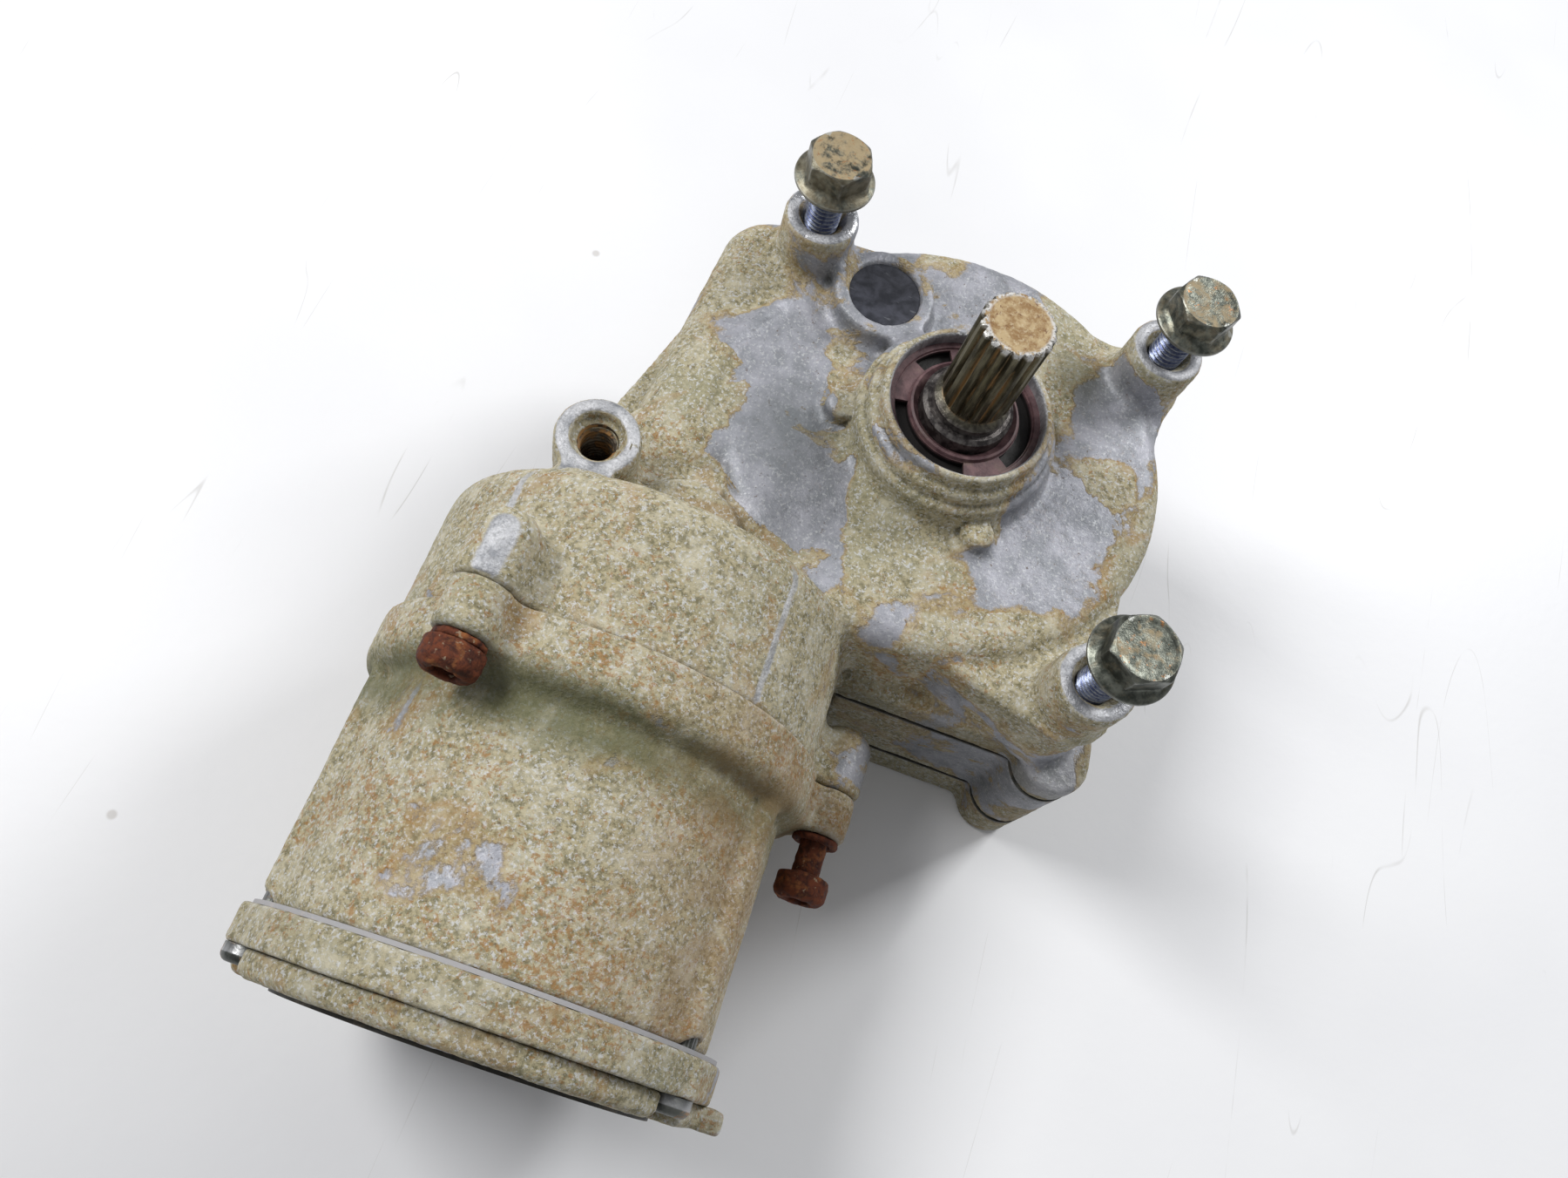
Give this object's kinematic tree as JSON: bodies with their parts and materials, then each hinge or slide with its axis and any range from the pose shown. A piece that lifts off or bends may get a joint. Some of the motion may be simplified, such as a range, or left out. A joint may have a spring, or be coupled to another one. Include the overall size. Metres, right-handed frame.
{
  "type": "right-angle worm gear drive with motor drum",
  "caption": "Right-angle worm gear drive: round cast case with a splined output shaft and bolt bosses, and a flanged motor drum set across it, driving the wheel by a worm.",
  "frame": {"origin": "on the output shaft's axis, in the plane of the machined faces of the four mounting bosses", "axes": "+Z runs out along the splined shaft, +Y runs from the motor drum towards the closed end of the worm tunnel, +X completes the right-handed set"},
  "size_m": [0.1534, 0.202, 0.1144],
  "materials": {
    "cast_aluminium": "sand-cast, weathered and stained",
    "gasket": "matt",
    "cap_paint": "satin",
    "dark_steel": "dark zinc coating, worn",
    "rusty_steel": "rusted",
    "plug_plastic": "semi-gloss",
    "seal_rubber": "matt",
    "steel": "ground",
    "cage_brass": "machined",
    "gear_nylon": "machined nylon",
    "lamination_steel": "stacked laminations",
    "magnet_coating": "epoxy coated",
    "copper_wire": "enamelled wire"
  },
  "bodies": {
    "housing": {"main_housing": "cast_aluminium", "lower_housing": "cast_aluminium", "base_cover": "cast_aluminium", "case_gasket": "gasket", "base_gasket": "gasket", "case_bolts": "dark_steel", "mount_bolts": "dark_steel", "inspection_plug": "plug_plastic", "shaft_seal": "seal_rubber", "seal_spring": "steel", "upper_bearing_outer": "steel", "lower_bearing_outer": "steel", "worm_end_bearing_outer": "steel", "worm_drive_bearing_outer": "steel", "bearing_retainer": "dark_steel", "stator_core": "lamination_steel", "stator_windings": "copper_wire", "front_bracket": "cast_aluminium", "front_bearing_outer": "steel", "rear_bearing_outer": "steel", "motor_drum": "cast_aluminium", "drum_o_ring": "gasket", "drum_bolts": "rusty_steel", "drum_washers": "rusty_steel", "seal_plate": "steel", "end_flange": "cast_aluminium", "flange_screws": "dark_steel", "end_cover": "cast_aluminium", "cap_plate": "cap_paint"},
    "output": {"output_shaft": "steel", "wheel_hub": "steel", "worm_wheel": "gear_nylon", "shaft_circlip": "dark_steel", "upper_bearing_inner": "steel", "lower_bearing_inner": "steel"},
    "rotor": {"worm_shaft": "steel", "worm_end_bearing_inner": "steel", "worm_drive_bearing_inner": "steel", "coupling_worm_half": "steel", "coupling_spider": "seal_rubber", "coupling_motor_half": "steel", "rotor_shaft": "steel", "rotor_core": "lamination_steel", "rotor_magnets": "magnet_coating", "front_bearing_inner": "steel", "rear_bearing_inner": "steel"},
    "upper_bearing_set": {"upper_bearing_balls": "steel", "upper_bearing_cage": "cage_brass"},
    "lower_bearing_set": {"lower_bearing_balls": "steel", "lower_bearing_cage": "cage_brass"},
    "worm_end_bearing_set": {"worm_end_bearing_balls": "steel", "worm_end_bearing_cage": "cage_brass"},
    "worm_drive_bearing_set": {"worm_drive_bearing_balls": "steel", "worm_drive_bearing_cage": "cage_brass"},
    "front_bearing_set": {"front_bearing_balls": "steel", "front_bearing_cage": "cage_brass"},
    "rear_bearing_set": {"rear_bearing_balls": "steel", "rear_bearing_cage": "cage_brass"}
  },
  "joints": [
    {"name": "output_turn", "type": "hinge", "parent": "housing", "child": "output", "pos_m": [0, 0, 0], "axis": [0, 0, 1], "continuous": true},
    {"name": "worm_turn", "type": "hinge", "parent": "housing", "child": "rotor", "pos_m": [-0.05, 0, -0.036], "axis": [0, 1, 0], "continuous": true},
    {"name": "upper_bearing_roll", "type": "hinge", "parent": "housing", "child": "upper_bearing_set", "pos_m": [0, 0, 0], "axis": [0, 0, 1], "continuous": true},
    {"name": "lower_bearing_roll", "type": "hinge", "parent": "housing", "child": "lower_bearing_set", "pos_m": [0, 0, 0], "axis": [0, 0, 1], "continuous": true},
    {"name": "worm_end_bearing_roll", "type": "hinge", "parent": "housing", "child": "worm_end_bearing_set", "pos_m": [-0.05, 0, -0.036], "axis": [0, 1, 0], "continuous": true},
    {"name": "worm_drive_bearing_roll", "type": "hinge", "parent": "housing", "child": "worm_drive_bearing_set", "pos_m": [-0.05, 0, -0.036], "axis": [0, 1, 0], "continuous": true},
    {"name": "front_bearing_roll", "type": "hinge", "parent": "housing", "child": "front_bearing_set", "pos_m": [-0.05, 0, -0.036], "axis": [0, 1, 0], "continuous": true},
    {"name": "rear_bearing_roll", "type": "hinge", "parent": "housing", "child": "rear_bearing_set", "pos_m": [-0.05, 0, -0.036], "axis": [0, 1, 0], "continuous": true}
  ],
  "couplings": [
    {"joint": "worm_turn", "follows": "output_turn", "ratio": 21},
    {"joint": "upper_bearing_roll", "follows": "output_turn", "ratio": 0.4165},
    {"joint": "lower_bearing_roll", "follows": "output_turn", "ratio": 0.4165},
    {"joint": "worm_end_bearing_roll", "follows": "output_turn", "ratio": 8.295},
    {"joint": "worm_drive_bearing_roll", "follows": "output_turn", "ratio": 8.148},
    {"joint": "front_bearing_roll", "follows": "output_turn", "ratio": 7.8867},
    {"joint": "rear_bearing_roll", "follows": "output_turn", "ratio": 7.8867}
  ]
}
